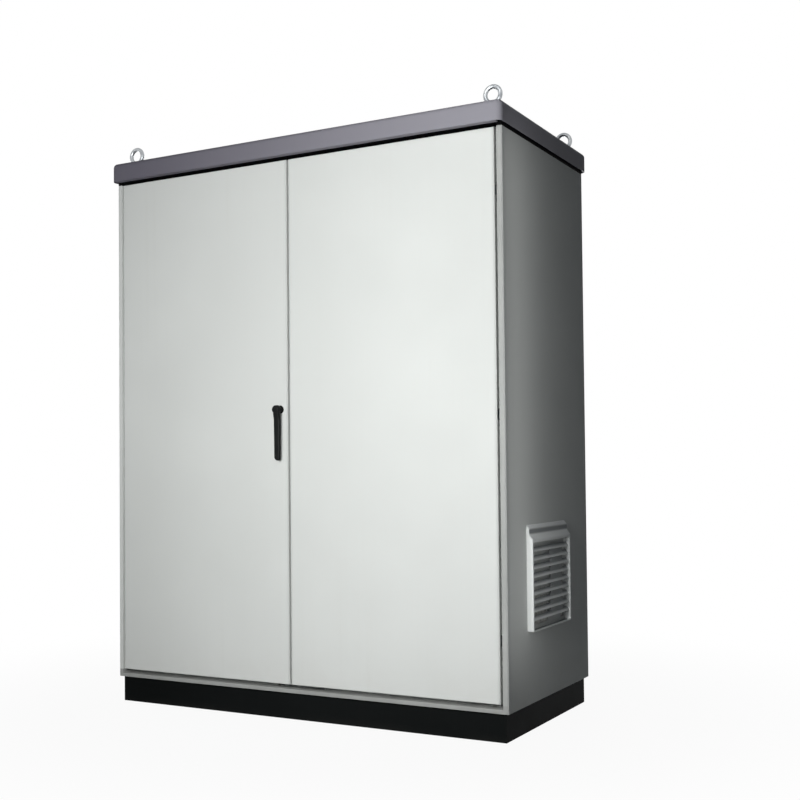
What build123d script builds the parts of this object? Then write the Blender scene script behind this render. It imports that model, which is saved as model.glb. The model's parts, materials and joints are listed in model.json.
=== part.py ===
from build123d import *
import math
import os

os.makedirs("parts", exist_ok=True)

# All lengths are in millimetres. The origin is the middle of the plinth on the ground, the doors face -Y.
# A depth is counted from the door faces towards the rear wall.

# Outer sizes
body_w = 1200.0
body_d = 560.0
plinth_h = 70.0
door_h = 1380.0
roof_h = 52.0

# Sheets and their bends
wall = 2.0
bend = 2.5
corner_bend = 4.0
plate_t = 3.0

# Visible rims and gaps round the doors, which meet a little to the left of the middle
rim_w = 14.0
sill_rim_h = 10.0
sill_gap = 11.0
head_gap = 8.0
header_h = 16.0
side_gap = 6.0
centre_gap = 5.0
meet_x = -16.0

# Door pans and the sealing line
door_flange = 20.0
door_return = 12.0
seal_depth = 28.0
lip_depth = 12.0
lip_inset = 35.0
lip_gap = 0.3
gasket_w = 12.0
post_half = 76.0
post_depth = 50.0

# Roof
roof_reveal = 9.0
roof_front = 20.0
roof_side = 7.0
roof_rear = 20.0
roof_lip = 18.0
roof_corner = 16.0
roof_bend = 12.0

# Lifting eyes
eye_inset = 38.0
eye_r = 20.0
eye_wire = 5.5
eye_collar_r = 16.0
eye_collar_h = 9.0
eye_shank_r = 6.0
spacer_r = 13.0
nut_h = 10.0

# Plinth
plinth_inset = 10.0
plinth_return = 20.0
corner_leg = 76.0
corner_t = 4.0
foot_t = 5.0
anchor_r = 7.0
anchor_from_corner = 38.0
access_r = 12.5
plinth_bolt_r = 6.5
plinth_bolt_x = 20.0
plinth_bolt_depth = 62.0

# Hinges
hinge_inset = 10.0
hinge_depth = 8.0
pin_r = 3.0
pin_clear = 0.05
knuckle_r = 5.3
arm_h = 24.0
arm_gap = 0.3
ear_t = 4.0
hinge_from_end = 150.0

# Lock and rods
lock_inset = 24.0
lock_z = 810.0
module = 1.5
pinion_teeth = 14
pressure_angle = 20.0
tooth_height = 0.8
root_gap = 0.3
backlash = 0.2
rod_depth = 32.0
rod_t = 6.0
rod_w = 5.5
rod_rest_gap = 2.0
rod_floor_gap = 1.0
throw_clear = 0.3
case_wall = 2.0
case_h = 110.0
spindle = 9.0
neck_r = 7.0
neck_clear = 0.05

# Lever handle
lever_head_r = 11.5
lever_head_t = 21.0
lever_bar_w = 18.5
lever_end_w = 16.5
lever_h = 147.0
lever_t = 11.0
lever_stand = 12.0
rosette_r = 13.0
rosette_t = 3.0

# Shoot bolts of the right door
bolt_x = 38.0
bolt_w = 12.0
bolt_len = 190.0
bolt_throw = 15.0
guide_offset = 45.0
guide_from_end = 35.0
knob_r = 5.0
knob_len = 8.0

# Vent hood on the right wall
vent_front = 121.0
vent_w = 267.0
vent_z = 248.0
vent_h = 258.0
vent_out = 23.0
vent_flange_x = 46.0
vent_flange_z = 24.0
vent_flange_t = 1.5
vent_wall = 2.5
vent_band = 38.0
vent_lip = 3.5
slat_count = 10
slat_pitch = 20.0
slat_t = 2.0
slat_run = 12.0
slat_rise = 11.0
slat_recess = 5.0
vent_screw_end = 25.0
rib_w = 84.0
rib_shift = 51.0
filter_t = 14.0

# Inside fittings
plate_margin = 58.0
standoff_r = 9.0
standoff_len = 83.0
standoff_inset_x = 40.0
standoff_inset_z = 50.0
plate_screw_r = 4.0
plate_screw_len = 18.0
sink_r = 6.5
earth_len = 420.0
earth_h = 20.0
earth_t = 5.0
earth_z = 88.0
earth_foot = 25.0
screw_r = 4.0
screw_head = 2.6
gland_from_rear = 150.0

# Levels and lines worked out from the sizes above
half = body_w / 2
front = -body_d / 2
sill_top = plinth_h + sill_rim_h
door_z0 = sill_top + sill_gap
door_z1 = door_z0 + door_h
header_z = door_z1 + head_gap
carcass_top = header_z + header_h + wall
roof_low = door_z1 + roof_reveal
roof_top = roof_low + roof_h
rim_x = half - rim_w
right_x0 = centre_gap / 2 + meet_x
left_x0 = centre_gap / 2 - meet_x
door_x1 = rim_x - side_gap
lip_x = door_x1 - lip_inset
lip_z0 = door_z0 + lip_inset
lip_z1 = door_z1 - lip_inset
seal_back = seal_depth + wall
pivot_x = door_x1 - hinge_inset
lock_x = -(left_x0 + lock_inset)
rod_back = rod_depth + rod_t
plate_depth = body_d - wall - standoff_len - plate_t
hinge_levels = [door_z0 + hinge_from_end, (door_z0 + door_z1) / 2, door_z1 - hinge_from_end]


def block(x0, x1, d0, d1, z0, z1, mode=Mode.ADD):
    """Add a straight-sided block between two corners, its second pair of numbers being depths."""
    with Locations(((x0 + x1) / 2, front + (d0 + d1) / 2, (z0 + z1) / 2)):
        return Box(abs(x1 - x0), abs(d1 - d0), abs(z1 - z0), mode=mode)


def rod_along(axis, radius, centre, length, mode=Mode.ADD):
    """Add a round bar along X, Y or Z with its middle at the centre (x, depth, z)."""
    turn = {"x": (0, 90, 0), "y": (90, 0, 0), "z": (0, 0, 0)}[axis]
    with Locations((centre[0], front + centre[1], centre[2])):
        return Cylinder(radius, length, rotation=turn, mode=mode)


def folded(plane, points, side, radius=bend):
    """Return the section of one folded sheet, whose wall lies on one side of the points."""
    with BuildSketch(plane) as section:
        with BuildLine():
            FilletPolyline(*points, radius=radius)
            offset(amount=wall, side=side, kind=Kind.INTERSECTION)
        make_face()
    return section.sketch


def at_depth(*points):
    """Turn (x, depth) pairs into points of the ground plan."""
    return [(x, front + depth) for x, depth in points]


def save(piece, name):
    """Label a finished piece and write it to its own file."""
    piece.part.label = name
    export_step(piece.part, f"parts/{name}.step")


def save_pair(piece, left_name, right_name):
    """Write a right-hand piece and its mirror image."""
    with BuildPart() as mirrored:
        mirror(piece.part, about=Plane.YZ)
    save(piece, right_name)
    save(mirrored, left_name)


# Plinth: four folded panels in front of four corner posts with anchor feet
plinth_x = half - plinth_inset
plinth_back = body_d - plinth_inset
corner_x = plinth_x - wall
return_x = corner_x - corner_leg - 4.0

with BuildPart() as plinth_front:
    block(-plinth_x, plinth_x, plinth_inset, plinth_inset + wall, 0, plinth_h)
    for level in (0, plinth_h - wall):
        block(-return_x, return_x, plinth_inset, plinth_inset + plinth_return, level, level + wall)
save(plinth_front, "plinth_front")

with BuildPart() as plinth_rear:
    mirror(plinth_front.part, about=Plane.XZ)
save(plinth_rear, "plinth_rear")

side_return = plinth_inset + wall + corner_leg + 4.0
with BuildPart() as plinth_right:
    block(corner_x, plinth_x, plinth_inset + wall, plinth_back - wall, 0, plinth_h)
    for level in (0, plinth_h - wall):
        block(plinth_x - plinth_return, plinth_x, side_return, body_d - side_return, level, level + wall)
save_pair(plinth_right, "plinth_left", "plinth_right")

anchor_x = corner_x - anchor_from_corner
anchor_depth = plinth_inset + wall + anchor_from_corner
bolt_hole_x = corner_x - plinth_bolt_x
bolt_hole_depth = plinth_inset + wall + plinth_bolt_depth
with BuildPart() as corner_front_right:
    corner_d = plinth_inset + wall
    block(corner_x - corner_leg, corner_x, corner_d, corner_d + corner_t, 0, plinth_h)
    block(corner_x - corner_t, corner_x, corner_d, corner_d + corner_leg, 0, plinth_h)
    for level in (0, plinth_h - foot_t):
        block(corner_x - corner_leg, corner_x, corner_d, corner_d + corner_leg, level, level + foot_t)
    rod_along("z", anchor_r, (anchor_x, anchor_depth, foot_t / 2), foot_t, Mode.SUBTRACT)
    rod_along("z", access_r, (anchor_x, anchor_depth, plinth_h - foot_t / 2), foot_t, Mode.SUBTRACT)
    rod_along("z", plinth_bolt_r, (bolt_hole_x, bolt_hole_depth, plinth_h - foot_t / 2), foot_t,
              Mode.SUBTRACT)
    upright_edges = corner_front_right.edges().filter_by(Axis.Z).group_by(Axis.X)[0]
    fillet(upright_edges.sort_by(Axis.Y)[-2:], radius=8.0)
save_pair(corner_front_right, "plinth_corner_front_left", "plinth_corner_front_right")

with BuildPart() as corner_rear_right:
    mirror(corner_front_right.part, about=Plane.XZ)
save_pair(corner_rear_right, "plinth_corner_rear_left", "plinth_corner_rear_right")

with BuildPart() as plinth_bolts:
    for x in (-bolt_hole_x, bolt_hole_x):
        for depth in (bolt_hole_depth, body_d - bolt_hole_depth):
            rod_along("z", plinth_bolt_r, (x, depth, plinth_h), 2 * foot_t + 2 * wall)
            with BuildSketch(Plane.XY.offset(plinth_h + wall)) as head:
                with Locations((x, front + depth)):
                    RegularPolygon(radius=11.0, side_count=6)
            extrude(head.sketch, amount=7.0)
save(plinth_bolts, "plinth_bolts")

# Floor with two cable openings, each closed by a blank gland plate
gland_w = 380.0
gland_d = 100.0
gland_x = (half + post_half) / 2
gland_depth = body_d - gland_from_rear
gland_lap = 18.0
with BuildPart() as floor_panel:
    block(-half + wall, half - wall, wall, body_d - wall, plinth_h, plinth_h + wall)
    fillet(floor_panel.edges().filter_by(Axis.Z).group_by(Axis.Y)[0], radius=corner_bend)
    for x in (-gland_x, gland_x):
        block(x - gland_w / 2, x + gland_w / 2, gland_depth - gland_d / 2, gland_depth + gland_d / 2,
              plinth_h, plinth_h + wall, Mode.SUBTRACT)
    for x in (-1, 1):
        for depth in (anchor_depth, body_d - anchor_depth):
            rod_along("z", access_r, (x * anchor_x, depth, plinth_h + wall / 2), wall, Mode.SUBTRACT)
        for depth in (bolt_hole_depth, body_d - bolt_hole_depth):
            rod_along("z", plinth_bolt_r, (x * bolt_hole_x, depth, plinth_h + wall / 2), wall, Mode.SUBTRACT)
save(floor_panel, "floor_panel")

gland_spots = [(x + i * (gland_w + gland_lap) / 2, gland_depth + j * (gland_d + gland_lap) / 2)
               for x in (-gland_x, gland_x) for i in (-1, 0, 1) for j in (-1, 1)]
with BuildPart() as gland_plates:
    for x in (-gland_x, gland_x):
        block(x - gland_w / 2 - gland_lap, x + gland_w / 2 + gland_lap, gland_depth - gland_d / 2 - gland_lap,
              gland_depth + gland_d / 2 + gland_lap, plinth_h + wall, plinth_h + 2 * wall)
save(gland_plates, "gland_plates")

with BuildPart() as gland_screws:
    for x, depth in gland_spots:
        rod_along("z", screw_r, (x, depth, plinth_h + 2 * wall + screw_head / 2), screw_head)
save(gland_screws, "gland_screws")

# Side walls, folded round the front corner into the rim beside each door
side_path = at_depth((half, body_d - wall), (half, 0), (rim_x, 0))
side_section = folded(Plane.XY.offset(plinth_h), side_path, Side.RIGHT, corner_bend)
with BuildPart() as left_side_panel:
    extrude(side_section, amount=carcass_top - plinth_h)
    mirror(left_side_panel.part, about=Plane.YZ, mode=Mode.REPLACE)
save(left_side_panel, "left_side_panel")

vent_back = vent_front + vent_w
vent_top = vent_z + vent_h
slat_z0 = vent_z + slat_run
vent_mid = (vent_front + vent_back) / 2
rib_d0 = vent_mid + rib_shift - rib_w / 2
rib_d1 = rib_d0 + rib_w
slot_land = slat_run + 3.0
slot_spans = [(vent_front + slot_land, rib_d0 - 3.0), (rib_d1 + 3.0, vent_back - slot_land)]
with BuildPart() as right_side_panel:
    extrude(side_section, amount=carcass_top - plinth_h)
    for row in range(slat_count):
        level = slat_z0 + row * slat_pitch
        for d0, d1 in slot_spans:
            block(half - wall, half, d0, d1, level, level + slat_pitch / 2, Mode.SUBTRACT)
save(right_side_panel, "right_side_panel")

with BuildPart() as rear_panel:
    block(-half, half, body_d - wall, body_d, plinth_h, carcass_top)
    fillet(rear_panel.edges().filter_by(Axis.Z).sort_by(Axis.Y)[-2:], radius=wall / 2)
save(rear_panel, "rear_panel")

eye_x = half - eye_inset
eye_depths = (eye_inset, body_d - eye_inset)
eye_spots = [(x, depth) for x in (-eye_x, eye_x) for depth in eye_depths]
with BuildPart() as top_panel:
    block(-half + wall, half - wall, wall, body_d - wall, carcass_top - wall, carcass_top)
    fillet(top_panel.edges().filter_by(Axis.Z).group_by(Axis.Y)[0], radius=corner_bend)
    for x, depth in eye_spots:
        rod_along("z", eye_shank_r + 0.5, (x, depth, carcass_top - wall / 2), wall, Mode.SUBTRACT)
save(top_panel, "top_panel")

# Front frame: hinge posts, header and sill, each one folded sheet that ends in the sealing lip
post_path = at_depth((half - corner_bend, wall), (rim_x, wall), (rim_x, seal_depth),
                     (lip_x + wall / 2, seal_depth), (lip_x + wall / 2, lip_depth))
with BuildPart() as right_post:
    extrude(folded(Plane.XY.offset(sill_top), post_path, Side.RIGHT), amount=header_z - sill_top)
    block(0, lip_x + wall / 2, 0, seal_depth, sill_top, lip_z0 - wall / 2, Mode.SUBTRACT)
    block(0, lip_x + wall / 2, 0, seal_depth, lip_z1 + wall / 2, header_z, Mode.SUBTRACT)
save_pair(right_post, "left_post", "right_post")

lip_inner = lip_x - wall / 2
rail_gap_half = post_half + wall / 2
header_path = [(front, carcass_top), (front, header_z), (front + seal_depth, header_z),
               (front + seal_depth, lip_z1 + wall / 2), (front + lip_depth, lip_z1 + wall / 2)]
with BuildPart() as header_rail:
    extrude(folded(Plane.YZ, header_path, Side.LEFT), amount=rim_x, both=True)
    block(-rail_gap_half, rail_gap_half, lip_depth - 1, seal_back, lip_z1 - wall, header_z, Mode.SUBTRACT)
    for side in (-1, 1):
        block(side * lip_inner, side * rim_x, lip_depth - 1, seal_back, lip_z1 - wall, header_z,
              Mode.SUBTRACT)
save(header_rail, "header_rail")

sill_path = [(front, plinth_h), (front, sill_top), (front + seal_depth, sill_top),
             (front + seal_depth, lip_z0 - wall / 2), (front + lip_depth, lip_z0 - wall / 2)]
with BuildPart() as sill_rail:
    extrude(folded(Plane.YZ, sill_path, Side.RIGHT), amount=rim_x, both=True)
    block(-rail_gap_half, rail_gap_half, lip_depth - 1, seal_back, sill_top, lip_z0 + wall, Mode.SUBTRACT)
    for side in (-1, 1):
        block(side * lip_inner, side * rim_x, lip_depth - 1, seal_back, sill_top, lip_z0 + wall,
              Mode.SUBTRACT)
save(sill_rail, "sill_rail")

# Centre post: a trough open to the front, its two edges being the sealing lips beside the centre gap
trough = post_half - wall / 2
trough_path = at_depth((-trough, lip_depth), (-trough, post_depth), (trough, post_depth), (trough, lip_depth))
post_foot = plinth_h + wall
post_head = carcass_top - wall
with BuildPart() as centre_post:
    extrude(folded(Plane.XY.offset(post_foot), trough_path, Side.LEFT), amount=post_head - post_foot)
    block(-half, half, 0, seal_depth, post_foot, lip_z0 - wall / 2, Mode.SUBTRACT)
    block(-half, half, 0, seal_depth, lip_z1 + wall / 2, post_head, Mode.SUBTRACT)
    block(-half, half, 0, seal_back, post_foot, sill_top, Mode.SUBTRACT)
    block(-half, half, 0, seal_back, header_z, post_head, Mode.SUBTRACT)
save(centre_post, "centre_post")

# Wear blocks on the header and under the sill, which the rods and bolts pass behind
keeper_h = 5.0
keeper_back = rod_depth - 1.0
keeper_front = keeper_back - 11.0
keeper_spans = [(lock_x - 21.0, lock_x + 21.0), (bolt_x - 14.0, bolt_x + 14.0)]
with BuildPart() as keepers:
    for x0, x1 in keeper_spans:
        block(x0, x1, keeper_front, keeper_back, header_z + wall, header_z + wall + keeper_h)
        block(x0, x1, keeper_front, keeper_back, sill_top - wall - keeper_h, sill_top - wall)
    fillet(keepers.edges().filter_by(Axis.X), radius=1.0)
save(keepers, "keepers")

# Rain roof: one inverted tray with a lip along the front and the rear
roof_x = half + roof_side
roof_d0 = -roof_front
roof_d1 = body_d + roof_rear


def roof_form(inset):
    """Return the rounded outer form of the roof, made smaller all round and at the top by an inset."""
    with BuildPart() as form:
        block(-roof_x + inset, roof_x - inset, roof_d0 + inset, roof_d1 - inset, roof_low, roof_top - inset)
        fillet(form.edges().filter_by(Axis.Z), radius=roof_corner - inset)
        fillet(form.edges().group_by(Axis.Z)[-1], radius=roof_bend - inset)
    return form.part


with BuildPart() as roof_canopy:
    add(roof_form(0))
    add(roof_form(wall), mode=Mode.SUBTRACT)
    for d0, d1 in ((roof_d0 + wall, roof_d0 + roof_lip), (roof_d1 - roof_lip, roof_d1 - wall)):
        block(-roof_x + roof_corner, roof_x - roof_corner, d0, d1, roof_low, roof_low + wall)
    for x, depth in eye_spots:
        rod_along("z", eye_shank_r + 0.5, (x, depth, roof_top), 4 * wall, Mode.SUBTRACT)
save(roof_canopy, "roof_canopy")

spacer_h = roof_top - wall - carcass_top
with BuildPart() as roof_spacers:
    for x, depth in eye_spots:
        rod_along("z", spacer_r, (x, depth, carcass_top + spacer_h / 2), spacer_h)
        rod_along("z", eye_shank_r + 0.5, (x, depth, carcass_top + spacer_h / 2), spacer_h, Mode.SUBTRACT)
save(roof_spacers, "roof_spacers")

# Lifting eyes: a forged ring on a collar, its shank going down through the spacer
shank_end = carcass_top - wall - nut_h - 2.0


with BuildPart() as lifting_eye:
    with BuildSketch(Plane.XZ):
        with BuildLine():
            Polyline((0, shank_end), (eye_shank_r, shank_end), (eye_shank_r, roof_top),
                     (eye_collar_r, roof_top), (eye_collar_r, roof_top + eye_collar_h / 2))
            ThreePointArc((eye_collar_r, roof_top + eye_collar_h / 2),
                          (eye_collar_r * 0.7, roof_top + eye_collar_h * 0.88),
                          (eye_shank_r, roof_top + eye_collar_h))
            Polyline((eye_shank_r, roof_top + eye_collar_h), (0, roof_top + eye_collar_h), (0, shank_end))
        make_face()
    revolve(axis=Axis.Z)
    with Locations((0, 0, roof_top + eye_collar_h + eye_r)):
        Torus(eye_r, eye_wire, rotation=(90, 0, 0))

with BuildPart() as lifting_eyes:
    with Locations(*[(x, front + depth, 0) for x, depth in eye_spots]):
        add(lifting_eye.part)
save(lifting_eyes, "lifting_eyes")

with BuildPart() as eye_nuts:
    for x, depth in eye_spots:
        with BuildSketch(Plane.XY.offset(carcass_top - wall - nut_h)) as nut:
            with Locations((x, front + depth)):
                RegularPolygon(radius=10.5, side_count=6)
                Circle(eye_shank_r + 0.05, mode=Mode.SUBTRACT)
        extrude(nut.sketch, amount=nut_h)
save(eye_nuts, "eye_nuts")

# Vent hood: a flanged box with a sloping brow, ten inclined slats and a wide rib behind their edges
face_x = half + vent_out
lip_x1 = face_x + vent_lip
lip_level = vent_top - vent_band
brow = [(half, vent_z), (face_x, vent_z), (face_x, lip_level - 2), (lip_x1, lip_level),
        (lip_x1, lip_level + 4), (face_x - 2, vent_top - vent_out), (half + 5, vent_top), (half, vent_top)]
hollow = [(half, vent_z + vent_wall), (face_x - vent_wall, vent_z + vent_wall),
          (face_x - vent_wall, vent_top - vent_out - 3), (half + 4, vent_top - vent_wall),
          (half, vent_top - vent_wall)]
with BuildPart() as vent_hood:
    block(half, half + vent_flange_t, vent_front - vent_flange_x, vent_back + vent_flange_x,
          vent_z - vent_flange_z, vent_top + vent_flange_z)
    fillet(vent_hood.edges().filter_by(Axis.X), radius=6.0)
    with BuildSketch(Plane.XZ.offset(-front - vent_front)) as outline:
        with BuildLine():
            Polyline(*brow, close=True)
        make_face()
    extrude(outline.sketch, amount=-vent_w)
    with BuildSketch(Plane.XZ.offset(-front - vent_front - vent_wall)) as inside:
        with BuildLine():
            Polyline(*hollow, close=True)
        make_face()
    extrude(inside.sketch, amount=-(vent_w - 2 * vent_wall), mode=Mode.SUBTRACT)
    block(face_x - 2 * vent_wall, face_x + 2 * vent_lip, vent_front + 8, vent_back - 8,
          vent_z + 6, vent_top - vent_band - 4, Mode.SUBTRACT)
    slat_x = face_x - slat_recess
    for row in range(slat_count):
        foot = slat_z0 + row * slat_pitch
        with BuildSketch(Plane.XZ.offset(-front - vent_front - vent_wall)) as blade:
            with BuildLine():
                Polyline((slat_x, foot), (slat_x, foot + slat_t),
                         (slat_x - slat_run, foot + slat_rise + slat_t),
                         (slat_x - slat_run, foot + slat_rise), close=True)
            make_face()
        extrude(blade.sketch, amount=-(vent_w - 2 * vent_wall))
    block(slat_x - 6, slat_x - 3, rib_d0, rib_d1, vent_z + vent_wall, vent_top - vent_band)
save(vent_hood, "vent_hood")

filter_front = vent_front + 8.0
filter_back = vent_back - 8.0
filter_z0 = vent_z + 4.0
filter_z1 = slat_z0 + slat_count * slat_pitch
with BuildPart() as filter_mat:
    block(half - wall - filter_t, half - wall, filter_front, filter_back, filter_z0, filter_z1)
save(filter_mat, "filter_mat")

with BuildPart() as filter_frame:
    block(half - wall - filter_t - wall, half - wall, filter_front - wall, filter_back + wall,
          filter_z0 - wall, filter_z1 + wall)
    block(half - wall - filter_t, half - wall, filter_front, filter_back, filter_z0, filter_z1, Mode.SUBTRACT)
    with Locations((half - wall - filter_t - wall / 2, front + vent_mid, (filter_z0 + filter_z1) / 2)):
        with GridLocations(0, (filter_z1 - filter_z0) / 8, 1, 8):
            Box(wall, filter_back - filter_front - 16, 14.0, mode=Mode.SUBTRACT)
save(filter_frame, "filter_frame")

# The screws of the vent are reached from the inside of the cabinet
with BuildPart() as vent_screws:
    for depth in (vent_front - vent_flange_x / 2, vent_back + vent_flange_x / 2):
        for level in (vent_z + vent_screw_end, vent_z + vent_h / 2, vent_top - vent_screw_end):
            rod_along("x", screw_r, (half - wall - screw_head / 2, depth, level), screw_head)
    fillet(vent_screws.edges().filter_by(GeomType.CIRCLE).group_by(Axis.X)[0], radius=1.0)
save(vent_screws, "vent_screws")

# Mounting plate on stand-offs from the rear wall, held by countersunk screws that leave its face plain
plate_x = half - plate_margin
plate_z0 = plinth_h + plate_margin
plate_z1 = carcass_top - plate_margin
standoff_x = plate_x - standoff_inset_x
standoffs = [(x, z) for x in (-standoff_x, 0, standoff_x)
             for z in (plate_z0 + standoff_inset_z, plate_z1 - standoff_inset_z)]
sink_d = sink_r - plate_screw_r
bore_clear = 0.05


def sunk_shape(extra):
    """Revolve the outline of a countersunk screw, from the plate's face to its end, wider by an extra."""
    with BuildPart() as shape:
        with BuildSketch(Plane.XY) as outline:
            with BuildLine():
                Polyline((0, 0), (sink_r + extra, 0), (plate_screw_r + extra, sink_d),
                         (plate_screw_r + extra, plate_screw_len), (0, plate_screw_len), close=True)
            make_face()
        revolve(axis=Axis.Y)
    return shape.part


with BuildPart() as mounting_plate:
    block(-plate_x, plate_x, plate_depth, plate_depth + plate_t, plate_z0, plate_z1)
    fillet(mounting_plate.edges().filter_by(Axis.Y), radius=10.0)
    with Locations(*[(x, front + plate_depth, z) for x, z in standoffs]):
        add(sunk_shape(bore_clear), mode=Mode.SUBTRACT)
save(mounting_plate, "mounting_plate")

with BuildPart() as plate_standoffs:
    for x, z in standoffs:
        rod_along("y", standoff_r, (x, body_d - wall - standoff_len / 2, z), standoff_len)
    with Locations(*[(x, front + plate_depth, z) for x, z in standoffs]):
        add(sunk_shape(bore_clear), mode=Mode.SUBTRACT)
save(plate_standoffs, "plate_standoffs")

# Earth bar on two feet from the rear wall, below the plate
earth_face = body_d - wall - earth_foot - earth_t
earth_feet_x = (-earth_len / 2 + 20, earth_len / 2 - 20)
with BuildPart() as earth_bar:
    block(-earth_len / 2, earth_len / 2, earth_face, earth_face + earth_t, earth_z, earth_z + earth_h)
    with Locations((0, front + earth_face + earth_t / 2, earth_z + earth_h / 2)):
        with GridLocations(earth_len / 12, 0, 9, 1):
            Cylinder(3.0, earth_t, rotation=(90, 0, 0), mode=Mode.SUBTRACT)
save(earth_bar, "earth_bar")

with BuildPart() as earth_feet:
    for x in earth_feet_x:
        rod_along("y", 8.0, (x, body_d - wall - earth_foot / 2, earth_z + earth_h / 2), earth_foot)
save(earth_feet, "earth_feet")

with BuildPart() as plate_bolts:
    with Locations(*[(x, front + plate_depth, z) for x, z in standoffs]):
        add(sunk_shape(0))
    for x in earth_feet_x:
        with BuildSketch(Plane.XZ.offset(-front - earth_face)) as head:
            with Locations((x, earth_z + earth_h / 2)):
                RegularPolygon(radius=8.0, side_count=6)
        extrude(head.sketch, amount=5.5)
save(plate_bolts, "plate_bolts")

# Door pans: a front sheet folded back on all sides, with a return on all but the meeting edge
notch_half = arm_h / 2 + 2.0


def door_pan(meeting_x):
    """Return a right-hand pan that reaches from its meeting edge to the hinge side."""
    with BuildPart() as pan:
        block(meeting_x, door_x1, 0, door_flange, door_z0, door_z1)
        fillet(pan.edges().group_by(Axis.Y)[0], radius=bend)
        offset(amount=-wall, openings=pan.faces().sort_by(Axis.Y)[-1])
        ring_d = door_flange - wall
        block(meeting_x + wall, door_x1 - wall, ring_d, door_flange, door_z0 + wall, door_z1 - wall)
        ring_in = wall + door_return
        block(meeting_x + wall, door_x1 - ring_in, ring_d, door_flange, door_z0 + ring_in, door_z1 - ring_in,
              Mode.SUBTRACT)
        for level in hinge_levels:
            block(pivot_x - hinge_inset, door_x1, 2 * wall, door_flange, level - notch_half,
                  level + notch_half, Mode.SUBTRACT)
    return pan


right_door_skin = door_pan(right_x0)
skin_hole_r = neck_r + 1.0
with BuildPart() as left_door_skin:
    mirror(door_pan(left_x0).part, about=Plane.YZ)
    rod_along("y", skin_hole_r, (lock_x, wall / 2, lock_z), 2 * wall, Mode.SUBTRACT)
save(right_door_skin, "right_door_skin")
save(left_door_skin, "left_door_skin")

# Foamed gasket on the inside of each door, one ring that the lips press on
gasket_d1 = lip_depth - lip_gap
gasket_half = gasket_w / 2
with BuildPart() as right_door_gasket:
    block(post_half - gasket_half, lip_x + gasket_half, wall, gasket_d1, lip_z0 - gasket_half,
          lip_z1 + gasket_half)
    fillet(right_door_gasket.edges().filter_by(Axis.Y), radius=gasket_w)
    block(post_half + gasket_half, lip_x - gasket_half, wall, gasket_d1, lip_z0 + gasket_half,
          lip_z1 - gasket_half, Mode.SUBTRACT)
save_pair(right_door_gasket, "left_door_gasket", "right_door_gasket")

# Punched stiffening rails, one near each long side of a door
rail_w = 30.0
rail_d = 16.0
rail_ends = 60.0
rail_x0 = post_half + gasket_half + 18.0
rail_x1 = lip_x - gasket_half - 18.0 - rail_w
rail_z0 = door_z0 + rail_ends
rail_h = door_h - 2 * rail_ends
hole_count = 24
with BuildPart() as right_door_rails:
    for x in (rail_x0, rail_x1):
        block(x, x + rail_w, wall, wall + rail_d, rail_z0, rail_z0 + rail_h)
        block(x + wall, x + rail_w - wall, wall, rail_d, rail_z0, rail_z0 + rail_h, Mode.SUBTRACT)
        with Locations((x + rail_w / 2, front + rail_d + wall / 2, rail_z0 + rail_h / 2)):
            with GridLocations(0, 0, 1, 1):
                for row in range(hole_count):
                    with Locations((0, 0, (row - (hole_count - 1) / 2) * rail_h / hole_count)):
                        Box(9.0, 2 * wall, 9.0, mode=Mode.SUBTRACT)
save_pair(right_door_rails, "left_door_rails", "right_door_rails")

# Hidden hinges: an arm welded to the frame goes round the edge of the door to a pin just behind its face
elbow = (pivot_x + 14.0 * math.cos(math.radians(140)), hinge_depth + 14.0 * math.sin(math.radians(140)))
base_t = 3.0
base_half = 30.0
arm_plan = at_depth((pivot_x, hinge_depth), elbow, (elbow[0], seal_depth - base_t))
with BuildPart() as right_hinge_arms:
    for level in hinge_levels:
        with BuildSketch(Plane.XY.offset(level - arm_h / 2)) as arm:
            with BuildLine():
                Polyline(*arm_plan)
                offset(amount=4.0)
            make_face()
            with Locations(at_depth((pivot_x, hinge_depth))[0]):
                Circle(knuckle_r)
            with Locations(at_depth((elbow[0], seal_depth))[0]):
                Rectangle(10.0, 2 * base_t + 5.0, mode=Mode.SUBTRACT)
            with Locations(at_depth((elbow[0], seal_depth - base_t - 1))[0]):
                Rectangle(8.0, 4.0)
            with Locations(at_depth((pivot_x, hinge_depth))[0]):
                Circle(pin_r + pin_clear, mode=Mode.SUBTRACT)
        extrude(arm.sketch, amount=arm_h)
        block(elbow[0] - 9.0, pivot_x + 12.0, seal_depth - base_t, seal_depth, level - base_half,
              level + base_half)
save_pair(right_hinge_arms, "left_hinge_arms", "right_hinge_arms")

bracket_half = arm_h / 2 + arm_gap + ear_t
bracket_x0 = lip_x + gasket_half + 2.0
with BuildPart() as right_hinge_brackets:
    for level in hinge_levels:
        with BuildSketch(Plane.XY.offset(level - bracket_half)) as ear:
            with Locations(at_depth((pivot_x, hinge_depth))[0]):
                Circle(knuckle_r)
            with Locations(at_depth(((bracket_x0 + pivot_x + 4.0) / 2, wall + base_t / 2))[0]):
                Rectangle(pivot_x + 4.0 - bracket_x0, base_t)
            make_hull()
            with Locations(at_depth((pivot_x, hinge_depth))[0]):
                Circle(pin_r + pin_clear, mode=Mode.SUBTRACT)
        extrude(ear.sketch, amount=2 * bracket_half)
        gap_half = arm_h / 2 + arm_gap
        block(bracket_x0 - 1, door_x1, wall + base_t, door_flange, level - gap_half, level + gap_half,
              Mode.SUBTRACT)
        block(pivot_x - knuckle_r - 1.2, door_x1, wall, door_flange, level - gap_half, level + gap_half,
              Mode.SUBTRACT)
save_pair(right_hinge_brackets, "left_hinge_brackets", "right_hinge_brackets")

with BuildPart() as right_hinge_pins:
    for level in hinge_levels:
        rod_along("z", pin_r, (pivot_x, hinge_depth, level), 2 * bracket_half)
        rod_along("z", pin_r + 1.5, (pivot_x, hinge_depth, level + bracket_half + 0.75), 1.5)
save_pair(right_hinge_pins, "left_hinge_pins", "right_hinge_pins")

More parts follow.
